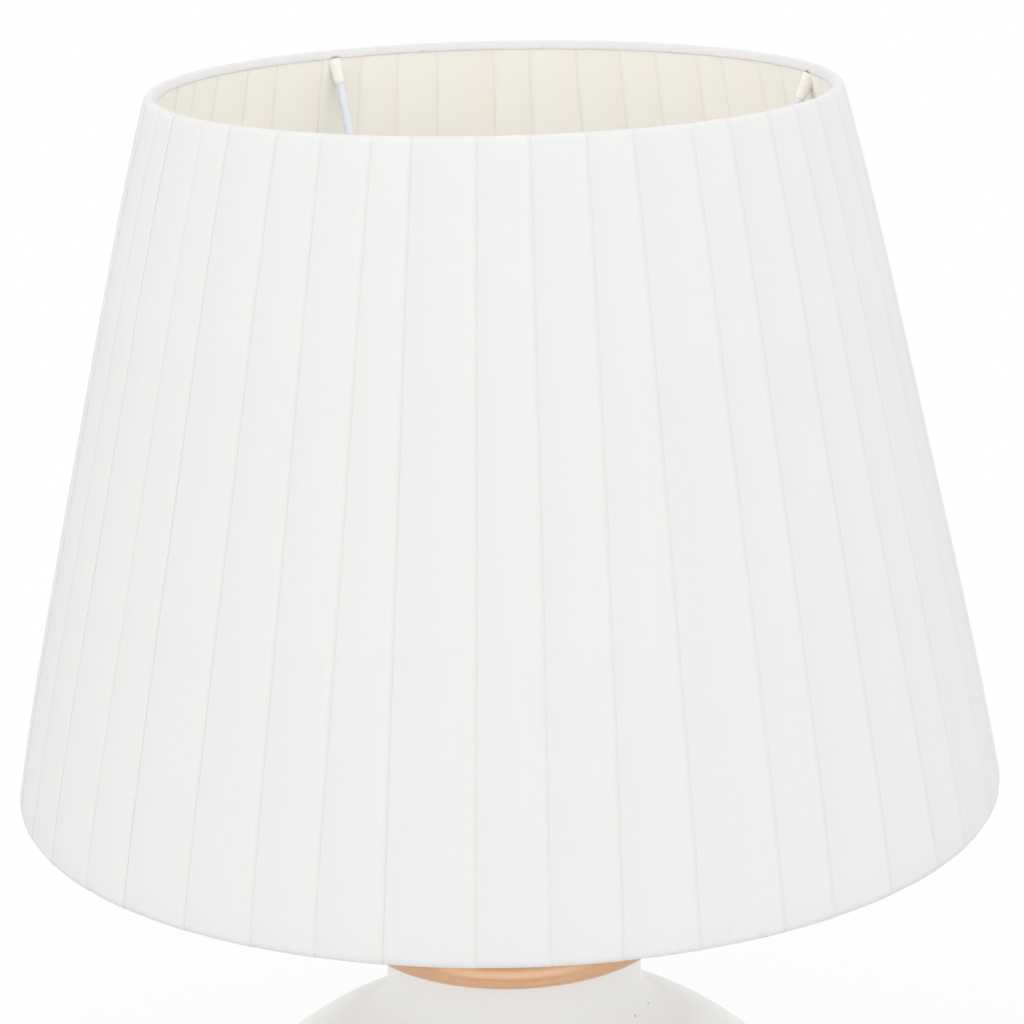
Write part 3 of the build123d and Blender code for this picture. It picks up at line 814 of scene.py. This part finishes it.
# %% The rule of the wound sleeves
def sleeve_rule():
    sizes = {
        "Low Radius": "Float",
        "High Radius": "Float",
        "Depth": "Float",
        "Pitch": "Float",
        "Length": "Float",
        "Fade": "Float",
        "Columns": "Int",
        "Rows": "Int",
        "Finish": "Material",
    }
    tree, start, given = new_rule("wound sleeve", sizes)
    sheet = start.node(
        "GeometryNodeMeshGrid",
        None,
        {"Size X": 1.0, "Size Y": 1.0, "Vertices X": given["Columns"], "Vertices Y": given["Rows"]},
    )
    flat = start.node("ShaderNodeSeparateXYZ", None, {0: start.node("GeometryNodeInputPosition")})
    angle = (flat + 0.5) * (2 * math.pi)
    climb = flat.other("Y") + 0.5
    height = climb * given["Length"]
    wave = (height * (2 * math.pi) / given["Pitch"] - angle).cos() * 0.5 + 0.5
    fade = height.ease(0.0, given["Fade"]) * (given["Length"] - height).ease(0.0, given["Fade"])
    radius = (
        given["Low Radius"]
        + (given["High Radius"] - given["Low Radius"]) * climb
        + given["Depth"] * wave * fade
    )
    place = start.node(
        "ShaderNodeCombineXYZ", None, {0: radius * angle.cos(), 1: radius * angle.sin(), 2: height}
    )
    bent = start.node("GeometryNodeSetPosition", None, {"Geometry": sheet, "Position": place})
    joined = start.node("GeometryNodeMergeByDistance", None, {"Geometry": bent, "Distance": 0.001 * MM})
    end_rule(start, joined, given["Finish"])
    return tree


sleeves = sleeve_rule()
print("The sleeve rule has", len(sleeves.nodes), "nodes")

# %% Thread of the bulb's cap
cap_low, cap_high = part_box("bulb_cap")
thread_pitch = 3.63 * MM
thread_depth = 0.9 * MM
cap_wall = 0.3 * MM
cap_thread = {
    "Low Radius": cap_high.x - thread_depth,
    "High Radius": cap_high.x - thread_depth,
    "Depth": thread_depth,
    "Pitch": thread_pitch,
    "Length": cap_high.z - cap_low.z,
    "Fade": 2.4 * MM,
    "Columns": 97,
    "Rows": 90,
    "Finish": finishes["bulb_cap_metal"],
}
bulb_screw = grow("bulb_screw", sleeves, cap_thread)
bulb_screw.data.transform(Matrix.Translation((0, 0, cap_low.z)))
thicken(bulb_screw, cap_wall, offset=-1.0)
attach(bulb_screw, "bulb")
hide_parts("bulb_cap")

# %% Thread of the lampholder
skirt_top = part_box("holder_skirt")[1].z
rim = [vertex.co for vertex in nodes["holder_skirt"].data.vertices if vertex.co.z > skirt_top - MM]
skirt_radius = max(math.hypot(point.x, point.y) for point in rim)
fitter_gap = 0.2 * MM  # between the lampholder's flange and the shade's ring
flange_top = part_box("fitter_ring")[0].z - fitter_gap
plain_end = 2.0 * MM  # of the skirt, above its thread
thread_root = skirt_radius + 0.03 * MM  # just clear of the skirt
thread_skin = 0.02 * MM
skirt_thread = {
    "Low Radius": thread_root,
    "High Radius": thread_root,
    "Depth": 0.3 * MM,
    "Pitch": 4.0 * MM,
    "Length": skirt_top - flange_top - plain_end,
    "Fade": 2.0 * MM,
    "Columns": 97,
    "Rows": 110,
    "Finish": finishes["white_plastic"],
}
holder_thread = grow("holder_thread", sleeves, skirt_thread)
holder_thread.data.transform(Matrix.Translation((0, 0, flange_top)))
thicken(holder_thread, thread_skin, offset=-1.0)
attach(holder_thread, "base")

# %% Bindings of the arms
hook_reach = 4.5 * MM  # from the arm's last bend out to the hoop
hook_drop = 9.5 * MM  # from the hoop down to the bend
arm_radius = 1.5 * MM
binding_sizes = {
    "Low Radius": arm_radius + 0.1 * MM,
    "High Radius": arm_radius + 1.1 * MM,
    "Depth": 0.12 * MM,
    "Pitch": 2.8 * MM,
    "Length": math.hypot(hook_reach, hook_drop) - wire_radius,
    "Fade": 0.8 * MM,
    "Columns": 33,
    "Rows": 40,
    "Finish": binding_tape,
}


def bind_arm(node):
    """Cloth wound round the upper leg of an arm, from its last bend to the upper hoop."""
    end = max((vertex.co for vertex in nodes[node].data.vertices), key=lambda point: point.z)
    outwards = Vector((end.x, end.y, 0.0)).normalized()
    foot = outwards * (high_radius - hook_reach) + Vector((0, 0, high_height - hook_drop))
    along = outwards * hook_reach + Vector((0, 0, hook_drop))
    binding = grow(node + "_binding", sleeves, binding_sizes)
    binding.data.transform(Matrix.Translation(foot) @ along.to_track_quat("Z", "Y").to_matrix().to_4x4())
    thicken(binding, ribbon_thickness, offset=1.0)
    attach(binding, "shade")
    return binding


bindings = [bind_arm(f"fitter_arm_{number}") for number in (1, 2, 3)]
print("Bound arms:", len(bindings))

# %% [markdown]
# Felt
#
# A felt disc fills the recess of the foot ring and stands a little proud, so that the lamp stands on
# it. It is a turned profile with soft edges. Its rim is slightly uneven, as cut felt is, so the loops of
# the profile are placed point by point.

# %% Felt
felt_low, felt_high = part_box("felt_pad")
felt_radius = felt_high.x
felt_steps = 180
felt_waves = ((7, 0.0), (17, 1.0), (41, 2.0))  # waves round the rim, and where each starts
felt_wave_depth = 0.12 * MM


def felt_loop(form, radius, height):
    """Points round the disc, at most radius from its middle."""
    loop = []
    for step in range(felt_steps):
        angle = 2 * math.pi * step / felt_steps
        uneven = felt_wave_depth * sum(math.sin(count * angle + first) for count, first in felt_waves)
        reach = radius - abs(uneven)
        point = (reach * math.cos(angle), reach * math.sin(angle), felt_low.z + height)
        loop.append(form.verts.new(point))
    return loop


def felt_disc():
    thickness = felt_high.z - felt_low.z
    soft = 0.7 * MM
    middle = felt_radius / 2
    profile = [
        (middle, 0.0),
        (felt_radius - soft, 0.0),
        (felt_radius, soft),
        (felt_radius, thickness - soft),
        (felt_radius - soft, thickness),
        (middle, thickness),
    ]
    form = bmesh.new()
    loops = [felt_loop(form, radius, height) for radius, height in profile]
    for lower, upper in zip(loops, loops[1:]):
        for step in range(felt_steps):
            following = (step + 1) % felt_steps
            form.faces.new((lower[step], lower[following], upper[following], upper[step]))
    form.faces.new(reversed(loops[0]))
    form.faces.new(loops[-1])
    bmesh.ops.recalc_face_normals(form, faces=form.faces)
    mesh = bpy.data.meshes.new("felt_disc")
    form.to_mesh(mesh)
    form.free()
    mesh.materials.append(finishes["felt"])
    return new_piece("felt_disc", mesh)


felt = felt_disc()
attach(felt, "base")
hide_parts("felt_pad")
print("Felt disc of", round(2 * felt_radius / MM, 1), "mm")

# %% [markdown]
# Stage
#
# The table lamp stands on a pale floor under an even white sky, with one large soft light in front and
# above. That alone leaves the lining darker than the cover, so a small soft light over the bulb shines
# upwards inside the shade. The floor turns white with distance, and close to the pot it keeps a soft
# shadow.


# %% Floor
floor_reach = 12.0
floor_colour = (0.74, 0.74, 0.74, 1.0)
shadow_near = 0.25  # metres from the lamp, where the floor starts to turn white
shadow_far = 0.7
near_white = 0.75  # how white the floor is next to the lamp


def looked_at(start):
    """1 where the camera, gloss or glass looks at the surroundings, and 0 where they only give light."""
    ray = start.node("ShaderNodeLightPath")
    rays = ray.other("Is Camera Ray") + ray.other("Is Glossy Ray") + ray.other("Is Transmission Ray")
    return rays.between(0.0, 1.0)


def pale_floor():
    mesh = bpy.data.meshes.new("floor")
    signs = ((-1, -1), (1, -1), (1, 1), (-1, 1))
    corners = [(floor_reach * x, floor_reach * y, 0.0) for x, y in signs]
    mesh.from_pydata(corners, [], [(0, 1, 2, 3)])
    floor = new_piece("floor", mesh)
    material, start, shader = new_finish("pale_floor", Roughness=0.9)
    shader.inputs["Base Color"].default_value = floor_colour
    place = object_place(start)
    away = start.node("ShaderNodeVectorMath", {"operation": "LENGTH"}, {0: place}, out="Value")
    white = start.node("ShaderNodeEmission", None, {"Color": (1, 1, 1, 1), "Strength": 1.0})
    whiteness = near_white + (1 - near_white) * away.ease(shadow_near, shadow_far)
    factor = looked_at(start) * whiteness
    ground = Value(start.tree, shader.outputs[0])
    show(start.node("ShaderNodeMixShader", None, {0: factor, 1: ground, 2: white}))
    mesh.materials.append(material)
    return floor


floor = pale_floor()
print("The", floor.name, "is", 2 * floor_reach, "metres wide")

# %% Light
sky_strength = 1.245
key_place = (-0.15, -1.8, 1.2)
middle_of_shade = (0.0, 0.0, 0.36)
over_the_bulb = (0.0, 0.0, 0.385)
straight_up = (0.0, 0.0, 1.0)


def white_sky():
    """A sky that lights at its full strength and looks pure white, also in gloss and glass."""
    world = bpy.data.worlds.new("sky")
    world.use_nodes = True
    scene.world = world
    tree = world.node_tree
    background = tree.nodes["Background"]
    background.inputs["Color"].default_value = (1, 1, 1, 1)
    strength = sky_strength + (1 - sky_strength) * looked_at(Value(tree))
    tree.links.new(strength.socket, background.inputs["Strength"])


def soft_light(name, place, target, size, power):
    """A rectangle of light that faces its target and that the camera doesn't see."""
    lamp = bpy.data.lights.new(name, "AREA")
    lamp.shape = "RECTANGLE"
    lamp.size, lamp.size_y = size
    lamp.energy = power
    light = bpy.data.objects.new(name, lamp)
    light.location = place
    light.rotation_euler = (Vector(target) - Vector(place)).to_track_quat("-Z", "Y").to_euler()
    light.visible_camera = False
    scene.collection.objects.link(light)
    return light


white_sky()
soft_light("key", key_place, middle_of_shade, size=(1.5, 1.5), power=3.5)
soft_light("glow", over_the_bulb, straight_up, size=(0.06, 0.06), power=0.086)
